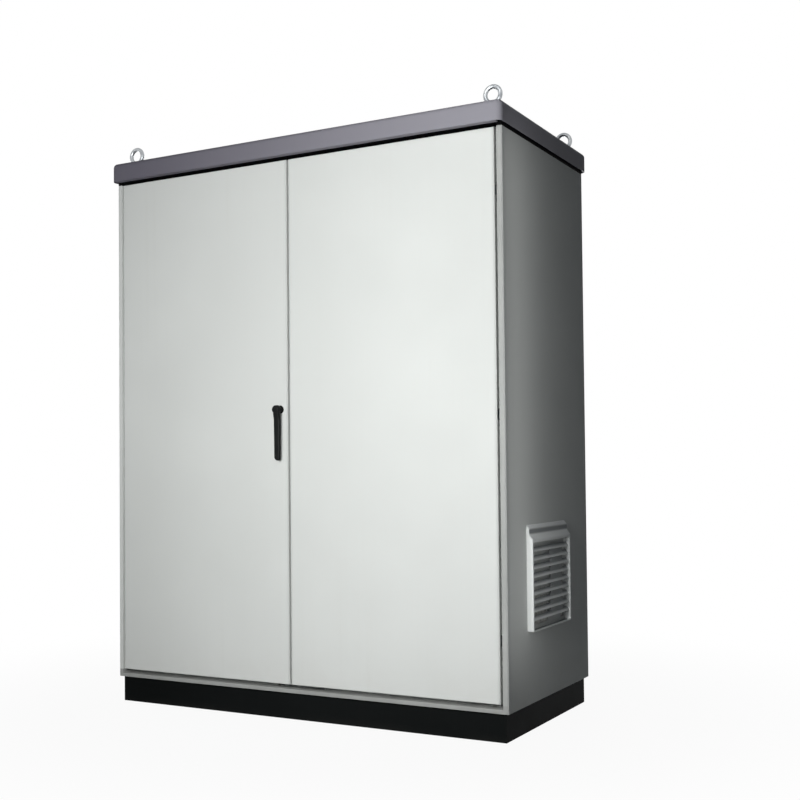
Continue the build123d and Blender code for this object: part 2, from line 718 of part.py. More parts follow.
# Rod lock: a pinion on the spindle of the lever drives two racks apart
pitch_r = module * pinion_teeth / 2
base_r = pitch_r * math.cos(math.radians(pressure_angle))
tip_r = pitch_r + tooth_height * module
root_r = pitch_r - tooth_height * module - root_gap
lock_throw = pitch_r * math.pi / 2
rack_pitch = math.pi * module


def involute_point(radius, sign):
    """Return a point of the tooth flank at a radius, for a tooth whose middle line is the X axis.

    The flank unwinds from the base circle, and the tooth is half a pitch wide at the pitch circle.
    """
    roll = math.sqrt(max((radius / base_r) ** 2 - 1, 0))
    unwound = roll - math.atan(roll)
    pitch_roll = math.tan(math.radians(pressure_angle))
    half_tooth = math.pi / (2 * pinion_teeth) + pitch_roll - math.radians(pressure_angle)
    angle = half_tooth - unwound
    return (radius * math.cos(angle), sign * radius * math.sin(angle))


flank_radii = [base_r + i * (tip_r - base_r) / 3 for i in range(4)]
foot_half = involute_point(base_r, 1)
foot = (root_r * 0.97 * foot_half[0] / base_r, root_r * 0.97 * foot_half[1] / base_r)
pinion_d0 = rod_depth - 0.5
pinion_t = rod_t + 1.0
with BuildPart() as lock_pinion:
    with BuildSketch(Plane.XZ.offset(-front - pinion_d0)) as gear:
        with Locations((lock_x, lock_z)):
            Circle(root_r)
            with PolarLocations(0, pinion_teeth):
                with BuildSketch(mode=Mode.PRIVATE) as tooth:
                    with BuildLine():
                        Polyline(foot, involute_point(base_r, 1))
                        Spline(*[involute_point(r, 1) for r in flank_radii])
                        ThreePointArc(involute_point(tip_r, 1), (tip_r, 0), involute_point(tip_r, -1))
                        Spline(*[involute_point(r, -1) for r in reversed(flank_radii)])
                        Polyline(involute_point(base_r, -1), (foot[0], -foot[1]), foot)
                    make_face()
                add(tooth.sketch)
            Rectangle(spindle, spindle, mode=Mode.SUBTRACT)
    extrude(gear.sketch, amount=-pinion_t)
save(lock_pinion, "lock_pinion")

rack_tip = pitch_r - tooth_height * module
rack_root = pitch_r + tooth_height * module + root_gap
rod_outer = rack_root + rod_w
rack_below = 4
rack_above = 6
upper_end = header_z - rod_rest_gap
lower_end = plinth_h + wall + rod_floor_gap + lock_throw


def rack_rod(side, far_end):
    """Return one rod: a flat bar with rack teeth beside the pinion, running to its far end.

    Side -1 is the rod that goes up, on the left of the pinion, and side 1 the one that goes down.
    """
    teeth = [-side * i * rack_pitch for i in range(-rack_below - 1, rack_above)]
    slope = math.tan(math.radians(pressure_angle))
    half_at_pitch = rack_pitch / 4 - backlash / 2
    near = min(teeth) - rack_pitch / 2 if side < 0 else max(teeth) + rack_pitch * 1.5
    with BuildPart() as rod:
        with BuildSketch(Plane.XZ.offset(-front - rod_depth)) as outline:
            with Locations((lock_x + side * (rack_root + rod_outer) / 2, (lock_z + near + far_end) / 2)):
                Rectangle(rod_w, abs(far_end - lock_z - near))
            for step in teeth:
                centre = lock_z + step + rack_pitch / 2
                tip_half = half_at_pitch - slope * (pitch_r - rack_tip)
                root_half = half_at_pitch + slope * (rack_root - pitch_r)
                with BuildLine():
                    Polyline((lock_x + side * rack_tip, centre - tip_half),
                             (lock_x + side * rack_tip, centre + tip_half),
                             (lock_x + side * rack_root, centre + root_half),
                             (lock_x + side * rack_root, centre - root_half), close=True)
                make_face()
        extrude(outline.sketch, amount=-rod_t)
        tip_edges = rod.faces().filter_by(Axis.Z).sort_by(Axis.Z)
        end_face = tip_edges[-1] if side < 0 else tip_edges[0]
        chamfer(end_face.edges().filter_by(Axis.X), length=1.5)
    return rod


save(rack_rod(-1, upper_end), "upper_rod")
save(rack_rod(1, lower_end), "lower_rod")

case_x = rod_outer + case_wall
case_d1 = rod_back + 4.0
with BuildPart() as lock_case:
    block(lock_x - case_x, lock_x + case_x, wall, case_d1, lock_z - case_h / 2, lock_z + case_h / 2)
    block(lock_x - rod_outer, lock_x + rod_outer, wall + case_wall, case_d1 - case_wall,
          lock_z - case_h / 2 + case_wall, lock_z + case_h / 2 - case_wall, Mode.SUBTRACT)
    rod_along("y", neck_r + neck_clear, (lock_x, wall, lock_z), 4 * case_wall, Mode.SUBTRACT)
    rod_along("y", neck_r + neck_clear, (lock_x, case_d1, lock_z), 4 * case_wall, Mode.SUBTRACT)
    block(lock_x - rod_outer - throw_clear, lock_x - rack_tip + throw_clear, rod_depth - throw_clear,
          rod_back + throw_clear, lock_z, lock_z + case_h, Mode.SUBTRACT)
    block(lock_x + rack_tip - throw_clear, lock_x + rod_outer + throw_clear, rod_depth - throw_clear,
          rod_back + throw_clear, lock_z - case_h, lock_z, Mode.SUBTRACT)
save(lock_case, "lock_case")


def guide_block(x0, x1, level):
    """Add a moulded guide on the door sheet, with a slot that a flat bar between x0 and x1 runs in."""
    block(x0 - 4, x1 + 4, wall, wall + 3, level - 9, level + 9)
    block(x0 - 1, x1 + 1, wall, rod_depth, level - 7, level + 7)
    block(x0 - 3, x1 + 3, rod_depth - 4, rod_back + 4, level - 7, level + 7)
    block(x0 - throw_clear, x1 + throw_clear, rod_depth - throw_clear, rod_back + throw_clear, level - 10,
          level + 10, Mode.SUBTRACT)


with BuildPart() as rod_guides:
    for level in (door_z1 - guide_offset, (door_z1 + lock_z) / 2):
        guide_block(lock_x - rod_outer, lock_x - rack_root, level)
    for level in (door_z0 + guide_offset, (door_z0 + lock_z) / 2):
        guide_block(lock_x + rack_root, lock_x + rod_outer, level)
save(rod_guides, "rod_guides")

# Lever handle hanging in front of the left door, with its rosette and square spindle
with BuildPart() as lock_rosette:
    rod_along("y", rosette_r, (lock_x, -rosette_t / 2, lock_z), rosette_t)
    fillet(lock_rosette.edges().group_by(Axis.Y)[0], radius=1.0)
    rod_along("y", neck_r + neck_clear, (lock_x, -rosette_t / 2, lock_z), rosette_t, Mode.SUBTRACT)
save(lock_rosette, "lock_rosette")

lever_tip_r = lever_end_w / 2
tip_z = lock_z - (lever_h - lever_head_r - lever_tip_r)
with BuildPart() as lever_handle:
    with BuildSketch(Plane.XZ.offset(-front + lever_stand)) as bar:
        with Locations((lock_x, lock_z)):
            Circle(lever_bar_w / 2)
        with Locations((lock_x, tip_z)):
            Circle(lever_tip_r)
        make_hull()
    extrude(bar.sketch, amount=lever_t)
    fillet(lever_handle.edges().group_by(Axis.Y)[0], radius=2.5)
    rod_along("y", lever_head_r, (lock_x, -lever_stand - lever_head_t / 2, lock_z), lever_head_t)
    fillet(lever_handle.edges().group_by(Axis.Y)[0], radius=3.0)
    rod_along("y", rosette_r - 2, (lock_x, -(lever_stand + rosette_t + arm_gap) / 2, lock_z),
              lever_stand - rosette_t - arm_gap)
    neck_len = lever_stand + wall + case_wall
    rod_along("y", neck_r, (lock_x, (wall + case_wall - lever_stand) / 2, lock_z), neck_len)
    block(lock_x - spindle / 2, lock_x + spindle / 2, -lever_stand, wall + case_wall,
          lock_z - spindle / 2, lock_z + spindle / 2, Mode.SUBTRACT)
save(lever_handle, "lever_handle")

with BuildPart() as handle_spindle:
    block(lock_x - spindle / 2, lock_x + spindle / 2, -lever_stand, case_d1 - case_wall,
          lock_z - spindle / 2, lock_z + spindle / 2)
    rod_along("y", neck_r, (lock_x, case_d1 - case_wall / 2, lock_z), case_wall)
save(handle_spindle, "handle_spindle")


# Shoot bolts that hold the right door at its top and bottom
def shoot_bolt(level_end, inward):
    """Return a flat bolt whose outer end is at a level, with a finger peg on its back."""
    far = level_end + inward * bolt_len
    with BuildPart() as bolt:
        block(bolt_x - bolt_w / 2, bolt_x + bolt_w / 2, rod_depth, rod_back, min(level_end, far),
              max(level_end, far))
        chamfer(bolt.faces().sort_by(Axis.Z)[0 if inward > 0 else -1].edges().filter_by(Axis.X), length=1.5)
        rod_along("y", knob_r, (bolt_x, rod_back + knob_len / 2, level_end + inward * bolt_len / 2), knob_len)
        fillet(bolt.edges().group_by(Axis.Y)[-1], radius=1.5)
    return bolt


bolt_top_end = header_z - rod_rest_gap
bolt_low_end = plinth_h + wall + rod_floor_gap + bolt_throw
save(shoot_bolt(bolt_top_end, -1), "upper_bolt")
save(shoot_bolt(bolt_low_end, 1), "lower_bolt")

with BuildPart() as bolt_guides:
    for start, inward in ((bolt_top_end, -1), (bolt_low_end, 1)):
        for step in (guide_offset, bolt_len - guide_from_end):
            guide_block(bolt_x - bolt_w / 2, bolt_x + bolt_w / 2, start + inward * step)
save(bolt_guides, "bolt_guides")
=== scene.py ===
# %% [markdown]
# # A roadside cabinet, dressed for the studio
# The CAD model is the real thing in sheet steel: every panel, hinge and rod is already in its
# place. Here it gets its paint, its zinc and its light. Nothing of it is moved. We only give it
# surfaces, and make the few soft or small pieces that a CAD solid can't show well.
# %% Load the frame
import json

import bpy
import numpy as np
from mathutils import Matrix, Vector


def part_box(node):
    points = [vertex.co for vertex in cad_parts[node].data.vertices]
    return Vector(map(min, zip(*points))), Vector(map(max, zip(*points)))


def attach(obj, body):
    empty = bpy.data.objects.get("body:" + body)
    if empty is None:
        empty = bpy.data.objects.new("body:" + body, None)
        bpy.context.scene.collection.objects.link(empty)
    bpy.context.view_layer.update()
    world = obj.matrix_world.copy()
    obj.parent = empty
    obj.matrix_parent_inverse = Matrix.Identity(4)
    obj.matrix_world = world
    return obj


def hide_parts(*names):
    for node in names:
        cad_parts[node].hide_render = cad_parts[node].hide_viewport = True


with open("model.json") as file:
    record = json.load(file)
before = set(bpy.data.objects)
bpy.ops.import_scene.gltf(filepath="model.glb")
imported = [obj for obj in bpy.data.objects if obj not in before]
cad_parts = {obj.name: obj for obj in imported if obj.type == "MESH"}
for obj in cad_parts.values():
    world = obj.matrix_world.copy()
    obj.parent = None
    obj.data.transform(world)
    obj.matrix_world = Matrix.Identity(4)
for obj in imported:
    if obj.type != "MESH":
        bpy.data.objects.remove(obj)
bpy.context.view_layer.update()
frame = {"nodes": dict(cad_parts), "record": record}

# %% [markdown]
# ## Places on the cabinet
# A piece that stands for a CAD part sits where that part is, and painted shade lies along the
# real gaps. Such places could be typed in again, but then they would be wrong as soon as a size
# changes. So they are read from the frame here, in millimetres, as on a workshop drawing.
# %% Places
mm = 0.001


def measured(node):
    """The lowest and the highest corner of a node at rest, in millimetres to a tenth."""
    return np.round(np.array(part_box(node)) / mm, 1)


left_door, right_door = measured("left_door_skin"), measured("right_door_skin")
door_face = left_door[0, 1]
door_edge = right_door[1, 0]
door_foot, door_head = right_door[:, 2]
meeting = (left_door[1, 0] + right_door[0, 0]) / 2
sheet_inside = measured("filter_frame")[1, 0]
print("doors meet at", meeting, "and end at", door_edge, "- the side sheet starts at", sheet_inside)

# %% Places of the vent
flange_low, flange_high = measured("vent_hood")[:, 1:]
hood_low = flange_low + (48.0, 24.0)
hood_high = flange_high - (46.0, 18.0)
hood_middle = (hood_low[0] + hood_high[0]) / 2
hood_half = (hood_high[0] - hood_low[0]) / 2
print("hood of the vent:", hood_low, "to", hood_high)

# %% [markdown]
# ## Colours and shader maths
# A colour is easiest to judge as it looks on a screen, from 0 to 255, but Blender wants the
# amount of light, so one small function converts it. Shader nodes can be wired by hand in an
# editor. In a script it is clearer to write sums: the class below wraps a socket, and each sign
# adds one Math node.
# %% Colour
def tone(red, green, blue):
    """Screen values as light: v / 12.92 below 0.04, else ((v + 0.055) / 1.055) to the 2.4."""
    v = np.array([red, green, blue]) / 255
    return (*np.where(v < 0.04045, v / 12.92, ((v + 0.055) / 1.055) ** 2.4).tolist(), 1.0)


print("a mid grey of 128 is", round(tone(128, 128, 128)[0], 3), "of the light")


# %% Signal
class Signal:
    """A socket that Python adds, multiplies and compares."""

    def __init__(self, wiring, socket):
        self.wiring = wiring
        self.socket = socket

    def maths(self, operation, *values):
        return self.wiring.node("Math", values, operation=operation)

    def __add__(self, other):
        return self.maths("ADD", self, other)

    __radd__ = __add__

    def __sub__(self, other):
        return self.maths("SUBTRACT", self, other)

    def __rsub__(self, other):
        return self.maths("SUBTRACT", other, self)

    def __mul__(self, other):
        return self.maths("MULTIPLY", self, other)

    __rmul__ = __mul__

    def __pow__(self, other):
        return self.maths("POWER", self, other)

    def __abs__(self):
        return self.maths("ABSOLUTE", self)

    def __gt__(self, other):
        return self.maths("GREATER_THAN", self, other)

    def __lt__(self, other):
        return self.maths("LESS_THAN", self, other)


print("signs that add a node: + - * ** abs > <")


# %% Wiring
class Wiring:
    """A node tree whose nodes all come from one method. Materials and the world both use it."""

    def __init__(self, tree):
        self.tree = tree

    def node(self, kind, values=(), output=0, **settings):
        """Add a node: its settings come first, then the values or links of its sockets."""
        made = self.tree.nodes.new("ShaderNode" + kind)
        for key, value in settings.items():
            setattr(made, key, value)
        for key, value in values.items() if isinstance(values, dict) else enumerate(values):
            self.join(value, made.inputs[key])
        return Signal(self, made.outputs[output])

    def join(self, value, socket):
        if isinstance(value, Signal):
            self.tree.links.new(value.socket, socket)
        else:
            socket.default_value = value

    def ease(self, value, low, high, to_low=0.0, to_high=1.0):
        """A value between two limits as a smooth step from one result to the other."""
        values = (value, low, high, to_low, to_high)
        return self.node("MapRange", values, interpolation_type="SMOOTHSTEP")

    def blend(self, share, first, second):
        """A mix of two colours by a share from 0 to 1."""
        return self.node("Mix", {0: share, 6: first, 7: second}, 2, data_type="RGBA")

    def most(self, first, second):
        """The larger of two signals."""
        return self.node("Math", (first, second), operation="MAXIMUM")

    def seen(self):
        """1 for a ray from the lens, a gloss or a clear material: a sum that is held below 1."""
        rays = self.node("LightPath").socket.node.outputs
        lens_ray, gloss_ray, clear_ray = [
            Signal(self, rays[f"Is {kind} Ray"]) for kind in ("Camera", "Glossy", "Transmission")]
        return self.node("Math", (lens_ray + gloss_ray, clear_ray), operation="ADD", use_clamp=True)


print("wiring:", [name for name in vars(Wiring) if not name.startswith("_")])


# %% [markdown]
# ## A finish
# Each finish is one material with a Principled shader. Its patterns read Object coordinates,
# which here are metres in the cabinet's own frame, because every piece sits at the origin with
# its place in its mesh. So a pattern runs on across two panels as one coat of paint does, and
# it travels with a door that opens.
# %% Finish
class Finish(Wiring):
    """A material with patterns that are laid out in metres on the cabinet."""

    def __init__(self, name, metallic=0.0, specular=0.5):
        self.material = bpy.data.materials.new(name)
        self.material.use_nodes = True
        super().__init__(self.material.node_tree)
        self.shader = self.tree.nodes["Principled BSDF"]
        self.shader.inputs["Metallic"].default_value = metallic
        self.shader.inputs["Specular IOR Level"].default_value = specular
        self.place = self.node("TexCoord", output="Object")

    def axis(self, letter):
        """One coordinate of the place, in metres."""
        return self.node("SeparateXYZ", [self.place], "XYZ".index(letter))

    def stretched(self, x, y, z):
        """The place, scaled by so many repeats per metre along each axis."""
        return self.node("Mapping", {"Vector": self.place, "Scale": (x, y, z)})

    def noise(self, scale, detail=2.0, rough=0.5, place=None, distortion=0.0):
        """Soft random values about 0.5, with so many blots per metre."""
        values = {"Vector": place or self.place, "Scale": scale, "Detail": detail,
                  "Roughness": rough, "Distortion": distortion}
        return self.node("TexNoise", values)

    def cells(self, scale, output="Distance"):
        """Voronoi cells, with so many per metre."""
        return self.node("TexVoronoi", {"Vector": self.place, "Scale": scale}, output)

    def bump(self, height, depth, strength=1.0, under=None):
        """Tilt the surface by a height signal whose full range is a depth in metres."""
        values = {"Height": height, "Distance": depth, "Strength": strength}
        if under:
            values["Normal"] = under
        return self.node("Bump", values)

    def finish_with(self, colour, rough, normal):
        self.join(colour, self.shader.inputs["Base Color"])
        self.join(rough, self.shader.inputs["Roughness"])
        self.join(normal, self.shader.inputs["Normal"])
        return self.material


print("a finish adds:", [name for name in vars(Finish) if not name.startswith("_")])


# %% [markdown]
# ## Powder coat
# The sheets are sprayed with dry powder, which melts in an oven. The skin that it leaves is not
# smooth: it has a fine grain like orange peel, and the thin sheet under it is never quite flat.
# Both could be modelled, but they are far too small to pay for in faces, so they are bumps, one
# a few millimetres wide and one as wide as a hand. The colour drifts a little, and dust settles
# low down.
# %% Powder coat
def clouds(coat):
    """Soft blots as wide as a hand, which thin the dust and the painted shade of the gaps."""
    return coat.noise(9.0, 4.0, 0.6)


def powder_coat(name, colour, dusty, grain, rough, specular, dust_top, painted_lit_end=None, painted_shade=None):
    """Colour = paint, drifting by large soft noise, mixed with dust that fades out up to a height.

    A lighter end colour, if one is given, takes over by a smooth step towards +x: painted light
    for the lamp's light on that end. Painted shade, if a function for it is given, is laid
    over the colour.
    """
    coat = Finish(name, specular=specular)
    drift = coat.noise(1.3, 3.0, 0.55)
    speck = coat.noise(900.0, 1.0)
    dark, light = [tone(*[v + shift for v in colour]) for shift in (-4, 3)]
    paint = coat.blend(coat.ease(drift * 0.85 + speck * 0.15, 0.35, 0.65), dark, light)
    # Painted light: towards +x the paint turns lighter, for the lamp's light on that end.
    if painted_lit_end:
        painted_light_share = coat.ease(coat.axis("X") + drift * 0.1, -0.75, 0.75)
        paint = coat.blend(painted_light_share, paint, tone(*painted_lit_end))
    rain = coat.noise(1.0, 3.0, 0.6, coat.stretched(45.0, 45.0, 0.9))
    streaks = coat.ease(rain, 0.5, 0.85, 0.0, 0.05) * coat.ease(drift, 0.4, 0.6, 0.3, 1.0)
    low = coat.ease(coat.axis("Z"), 0.0, dust_top, 1.0, 0.0) ** 2.0
    cloud = clouds(coat)
    dust = low * coat.ease(cloud, 0.3, 0.75, 0.03, 0.22) + streaks
    outside = coat.blend(dust, paint, tone(*dusty))
    # Painted shade, where a function for it is given.
    if painted_shade:
        outside = painted_shade(coat, outside)
    peel = coat.noise(grain, 2.0, 0.6)
    waves = coat.noise(4.0, 1.0, 0.4)
    normal = coat.bump(peel, 0.00022, 0.5, coat.bump(waves, 0.0012, 0.35))
    uneven = coat.ease(peel * 0.5 + cloud * 0.5, 0.3, 0.7, rough - 0.05, rough + 0.05)
    return coat.finish_with(outside, uneven + dust * 0.25, normal)


print("powder coat: grain, waves, drift and dust")


# %% [markdown]
# ## Painted shade along the gaps and in the vent
# The paint is darkened as painted shade where shade falls: along the gaps round the doors, on
# the sill below them and on the rim beside them, and a black band is painted shadow under the
# roof. In the vent, the groove of the brow and the space behind the blades are darkened too. A
# painted mask could show this, but no picture is used here, so each share is a smooth step of
# the distance from a real edge.
# %% Painted shade of the gaps
def painted_gap_shade(coat, under):
    """Painted shade, the larger of the shares of rim, lips and sill, thinned by clouds; then a
    band.

    The black band is painted shadow: it stands for the deep shade in the gap under the roof. It
    starts just above the doors, and it keeps the gap under the roof dark.
    """
    across = coat.axis("X")
    before = coat.axis("Y") * -1.0
    edge = door_edge * mm
    # Painted shade on the rim of the side sheet, on the door lips beside the gaps and on the sill.
    rim = coat.ease(across, edge, edge + 3.0 * mm) * 0.58
    middle_lips = coat.ease(abs(across - meeting * mm), 0.0, 11.0 * mm, 0.34, 0.0)
    outer_lip = coat.ease(across, edge - 10.0 * mm, edge, 0.0, 0.30)
    lips = (middle_lips + outer_lip) * (across < edge + 1.5 * mm)
    front = coat.most(rim, lips) * (before > (-door_face - 1.5) * mm)
    on_sill = (coat.axis("Z") < (door_foot - 0.5) * mm) * (before > 0.24)
    sill = on_sill * (abs(across) < (sheet_inside - 0.2) * mm) * 0.66
    gap_shade = coat.most(front, sill) * coat.ease(clouds(coat), 0.3, 0.7, 0.85, 1.0)
    # Painted shade and shadow: the gaps, rim and sill turn a grey of 108, and above the doors the
    # paint turns near black for the shade under the roof.
    painted_shadow_band = coat.axis("Z") > (door_head + 1.0) * mm
    return coat.blend(painted_shadow_band, coat.blend(gap_shade, under, tone(108, 109, 107)), tone(14, 14, 15))


# Where the painted gap shade and the painted shadow band start.
print("road film starts at", door_edge, "and the tape at", door_head + 1.0)


# %% Painted shade in the vent
def painted_vent_shade(coat, under):
    """Painted shade, the larger of two shares: in the groove of the brow, and deep behind the
    blades.
    """
    beside = abs(coat.axis("Y") - hood_middle * mm)
    level = coat.axis("Z")
    away = abs(level - (hood_high[1] - 17.5) * mm)
    groove_ends = coat.ease(beside, (hood_half - 2.5) * mm, (hood_half - 0.3) * mm, 1.0, 0.0)
    groove = coat.ease(away, 3.0 * mm, 9.0 * mm, 0.75, 0.0) * groove_ends
    deep, shallow = (sheet_inside + 8.0) * mm, (sheet_inside + 14.5) * mm
    blade_ends = coat.ease(beside, (hood_half - 10.5) * mm, (hood_half - 5.5) * mm, 1.0, 0.0)
    behind = coat.ease(coat.axis("X"), deep, shallow, 0.75, 0.0) * blade_ends
    below_brow = level < (hood_high[1] - 40.5) * mm
    # Painted shade: a grey of 92 to 99 in the groove and behind the blades, below the brow.
    return coat.blend(coat.most(groove, behind * below_brow), under, tone(92, 96, 99))


print("the groove of the vent is at", hood_high[1] - 17.5)


# %% The four coats
finishes = {
    # body_paint gets painted shade along the gaps and a painted shadow band under the roof.
    "body_paint": powder_coat("body_paint", (206, 209, 206), (176, 172, 162), 330.0, rough=0.42,
                              specular=0.006, dust_top=0.30, painted_shade=painted_gap_shade),
    # roof_paint is painted lighter towards +x, as painted light on that end.
    "roof_paint": powder_coat("roof_paint", (98, 96, 106), (150, 148, 142), 300.0, rough=0.42,
                              specular=0.01, dust_top=0.02, painted_lit_end=(140, 139, 146)),
    "plinth_paint": powder_coat("plinth_paint", (18, 20, 20), (46, 45, 43), 300.0, rough=0.5,
                                specular=0.01, dust_top=0.03),
    # vent_grey gets painted shade in its groove and behind its blades.
    "vent_grey": powder_coat("vent_grey", (230, 233, 231), (196, 193, 184), 700.0, rough=0.48,
                             specular=0.01, dust_top=0.25, painted_shade=painted_vent_shade),
}
print("coats:", ", ".join(finishes))


# %% [markdown]
# ## Zinc and copper
# Hot-dipped zinc freezes in flat crystals that each face their own way. Voronoi cells give each
# patch its own grey and its own shine, which a plain noise can't. Copper bar is drawn through
# rollers that leave long lines, so its noise is stretched along the bar.
# %% Metals
def zinc():
    """Each crystal has its own grey and roughness, with a white bloom in large soft blots."""
    crystals = 110.0
    steel = Finish("zinc_steel", metallic=0.9)
    shade = steel.node("SeparateColor", [steel.cells(crystals, "Color")])
    bloom = steel.ease(steel.noise(14.0, 4.0, 0.6), 0.45, 0.75)
    metal = steel.blend(shade, tone(150, 154, 158), tone(186, 189, 191))
    colour = steel.blend(bloom * 0.45, metal, tone(196, 197, 195))
    normal = steel.bump(steel.cells(crystals) + steel.noise(600.0) * 0.4, 0.00012, 0.4)
    return steel.finish_with(colour, steel.ease(shade, 0.0, 1.0, 0.28, 0.46) + bloom * 0.15, normal)


def copper():
    """Roller lines along the bar, and a brown tarnish in clouds."""
    bar = Finish("earth_copper", metallic=1.0)
    lines = bar.noise(1.0, 3.0, 0.7, bar.stretched(6.0, 900.0, 900.0))
    tarnish = bar.ease(bar.noise(24.0, 4.0, 0.6), 0.4, 0.7)
    colour = bar.blend(tarnish * 0.6, tone(214, 138, 98), tone(128, 78, 56))
    return bar.finish_with(colour, bar.ease(lines, 0.2, 0.8, 0.22, 0.42) + tarnish * 0.15,
                           bar.bump(lines, 0.00008, 0.5))


finishes |= {"zinc_steel": zinc(), "earth_copper": copper()}
print("with metals:", len(finishes))


# %% [markdown]
# ## Foam, fleece and plastics
# Foam rubber is full of pores, a filter fleece is a felt of crossing fibres, and moulded or cast
# pieces have a fine skin from their mould. All three are too small to model, so they are
# patterns at their real scale in the colour, the roughness and the bump.
# %% Foam and fleece
def foam():
    """Pores are small Voronoi cells, and the skin that closes some of them is a shade lighter."""
    rubber = Finish("gasket_rubber", specular=0.3)
    pore = rubber.cells(900.0)
    colour = rubber.blend(rubber.ease(pore, 0.1, 0.6), tone(22, 22, 23), tone(52, 52, 53))
    closed = rubber.noise(160.0, 3.0)
    return rubber.finish_with(colour, rubber.ease(closed, 0.3, 0.7, 0.62, 0.85),
                              rubber.bump(pore + closed * 0.6, 0.0004, 0.7))


def fleece():
    """Fibres run two ways, as two stretched noises that are added, over soft tufts."""
    mat = Finish("filter_fleece", specular=0.2)
    one = mat.noise(1.0, 4.0, 0.7, mat.stretched(500.0, 1800.0, 260.0), 1.2)
    two = mat.noise(1.0, 4.0, 0.7, mat.stretched(500.0, 260.0, 1800.0), 1.2)
    tufts = mat.noise(120.0, 3.0)
    fibre = one * 0.5 + two * 0.5
    share = mat.ease(fibre * 0.7 + tufts * 0.3, 0.36, 0.62)
    colour = mat.blend(share, tone(176, 176, 170), tone(238, 238, 233))
    return mat.finish_with(colour, mat.ease(tufts, 0.3, 0.7, 0.85, 0.97),
                           mat.bump(fibre + tufts, 0.0012, 0.8))


finishes |= {"gasket_rubber": foam(), "filter_fleece": fleece()}
print("with soft goods:", len(finishes))


# %% Moulded plastics
def moulded(name, dark, light, grain, rough, specular):
    """A moulded or cast skin: fine grain in the bump, and a slow drift between two tones."""
    surface = Finish(name, specular=specular)
    drift = surface.noise(26.0, 3.0)
    fine = surface.noise(grain, 2.0, 0.6)
    share = surface.ease(drift * 0.6 + fine * 0.4, 0.35, 0.65)
    colour = surface.blend(share, tone(*dark), tone(*light))
    return surface.finish_with(colour, surface.ease(drift, 0.3, 0.7, rough - 0.06, rough + 0.08),
                               surface.bump(fine, 0.00012, 0.6))


finishes |= {
    "lever_black": moulded("lever_black", (14, 15, 15), (21, 22, 22), 1100.0, 0.42, 0.08),
    "guide_nylon": moulded("guide_nylon", (214, 212, 202), (230, 228, 219), 500.0, 0.5, 0.4),
}
print("finishes:", len(finishes))

# %% [markdown]
# ## Paint the CAD parts
# The record says which slot each part takes its finish from. The part's own material slot is
# filled with the better material, and the mesh is left as it is.
# %% Paint
for row in frame["record"]["subparts"]:
    for slot in frame["nodes"][row["node"]].material_slots:
        slot.material = finishes[row["material_slot"]]


# %% [markdown]
# ## Skins of points
# A cast, foamed or sewn thing has no flat faces and sharp edges, so it is not cut from blocks.
# It is a skin: a row of rings of points, each ring joined to the next by quads. Numpy works out
# all the points at once. A skin either ends in a pole at both ends, as a bottle does, or runs
# round and meets itself, as a tyre does.
# %% Skin
def skin(rings, poles=None):
    """Quads between neighbouring rings, and a fan from each end ring to its pole, or a closed loop.

    The rings turn to the right about the way that they go, so every face looks outwards.
    """
    count, around = rings.shape[:2]
    spots = np.arange(count * around).reshape(count, around)
    if poles is None:
        spots = np.concatenate([spots, spots[:1]])
    beside = np.roll(spots, -1, axis=1)
    quads = np.stack([spots[:-1], beside[:-1], beside[1:], spots[1:]], axis=-1).reshape(-1, 4)
    if poles is None:
        return rings.reshape(-1, 3), quads.tolist()
    ends = np.full(around, count * around)
    start = np.stack([ends, beside[0], spots[0]], axis=-1)
    finish = np.stack([spots[-1], beside[-1], ends + 1], axis=-1)
    points = np.concatenate([rings.reshape(-1, 3), poles])
    return points, quads.tolist() + start.tolist() + finish.tolist()


def capped(rings):
    """A skin whose poles are the middles of its end rings."""
    return skin(rings, [rings[0].mean(0), rings[-1].mean(0)])


print("three rings of eight points make", len(capped(np.zeros((3, 8, 3)))[1]), "faces")


# %% Make a piece
def make(name, skins, body, slot, stands_for):
    """One object from one or more skins, smooth but for its sharp edges, which rides on a body."""
    points, faces, base = [], [], 0
    for own, own_faces in skins:
        points.append(own)
        faces += [[corner + base for corner in face] for face in own_faces]
        base += len(own)
    mesh = bpy.data.meshes.new(name)
    mesh.from_pydata(np.concatenate(points).tolist(), [], faces)
    mesh.shade_smooth()
    mesh.set_sharp_from_angle(angle=np.radians(42))
    mesh.materials.append(finishes[slot])
    made = bpy.data.objects.new(name, mesh)
    bpy.context.scene.collection.objects.link(made)
    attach(made, body)
    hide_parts(stands_for)
    print(f"{name}: {base} points, {len(faces)} faces, stands for {stands_for}")
    return made


print("a piece takes its finish from one of:", ", ".join(finishes))


# %% [markdown]
# ## The lever
# The lever is one die casting in black. Its bar is a soft-edged flat bar that narrows towards a
# slanted, rounded tip, and it swells forwards into a round head. Blocks with bevels would leave
# flats between them. So the bar is a superellipse carried down a line, and the head, its hub and
# its neck are one profile turned about the spindle.
# %% Where the lever is
head_radius = 11.5
lever_low, lever_high = measured("lever_handle")
lever_middle = (lever_low[0] + lever_high[0]) / 2
pivot = np.array([lever_middle, door_face, lever_high[2] - head_radius]) * mm
angle = np.linspace(0.0, 2 * np.pi, 64, endpoint=False)
print("the spindle is at", pivot)


# %% Bar
def soft(wave, power):
    """A cosine or sine raised to a power, with its sign kept: below 1 it fills out the corners."""
    return np.sign(wave) * np.abs(wave) ** power


